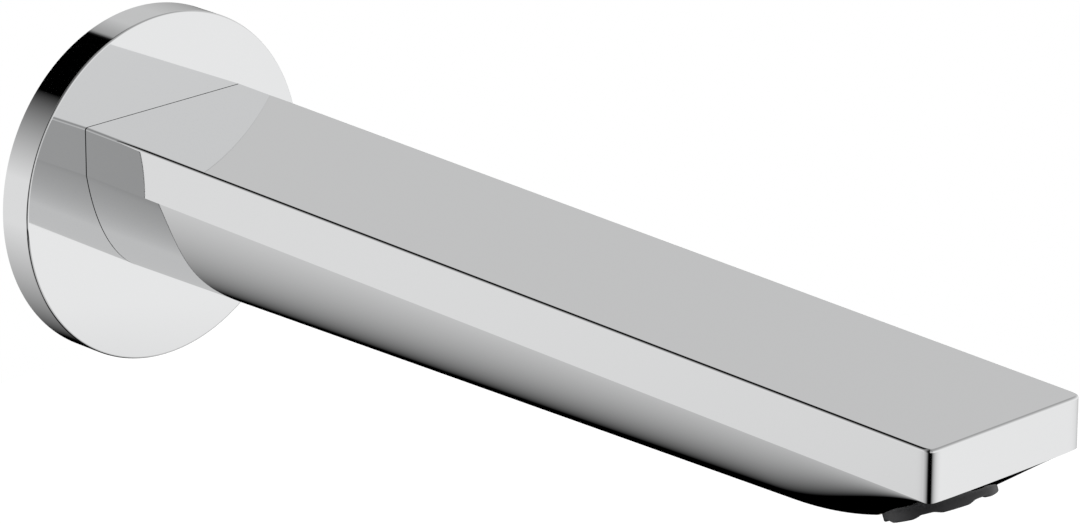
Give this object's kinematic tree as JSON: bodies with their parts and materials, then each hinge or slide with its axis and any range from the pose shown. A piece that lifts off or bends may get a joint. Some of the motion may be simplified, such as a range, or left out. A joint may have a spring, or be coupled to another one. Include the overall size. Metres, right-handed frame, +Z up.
{
  "type": "bath spout",
  "caption": "Wall-fixed bath spout with a flat top, a rounded belly that sweeps up to a blunt nose, a jet regulator under the nose and a round wall plate.",
  "frame": {"origin": "centre of the wall plate, on the plane of the wall", "axes": "+X out of the wall towards the spout's nose, +Z up, +Y to the left of someone who stands at the wall and looks out along +X"},
  "size_m": [0.2449, 0.07, 0.07],
  "materials": {
    "chrome_plate": "polished",
    "brass": "turned",
    "steel": "satin",
    "black_rubber": "matt",
    "foam": "matt",
    "fibre": "matt",
    "dark_plastic": "matt",
    "grey_plastic": "matt",
    "pale_plastic": "matt"
  },
  "bodies": {
    "root": {"spout_body": "chrome_plate", "wall_plate": "chrome_plate", "wall_plate_seal": "foam", "plate_o_ring": "black_rubber", "connection_nipple": "brass", "nipple_o_ring_inner": "black_rubber", "nipple_o_ring_outer": "black_rubber", "inlet_washer": "fibre", "grub_screw": "steel", "aerator_gasket": "black_rubber", "aerator_housing": "dark_plastic", "inlet_filter": "pale_plastic", "regulator_body": "pale_plastic", "regulator_ring": "black_rubber", "diffuser_plate": "pale_plastic", "mixing_screen_upper": "steel", "mixing_screen_lower": "steel", "aerator_grille": "grey_plastic"}
  },
  "joints": []
}
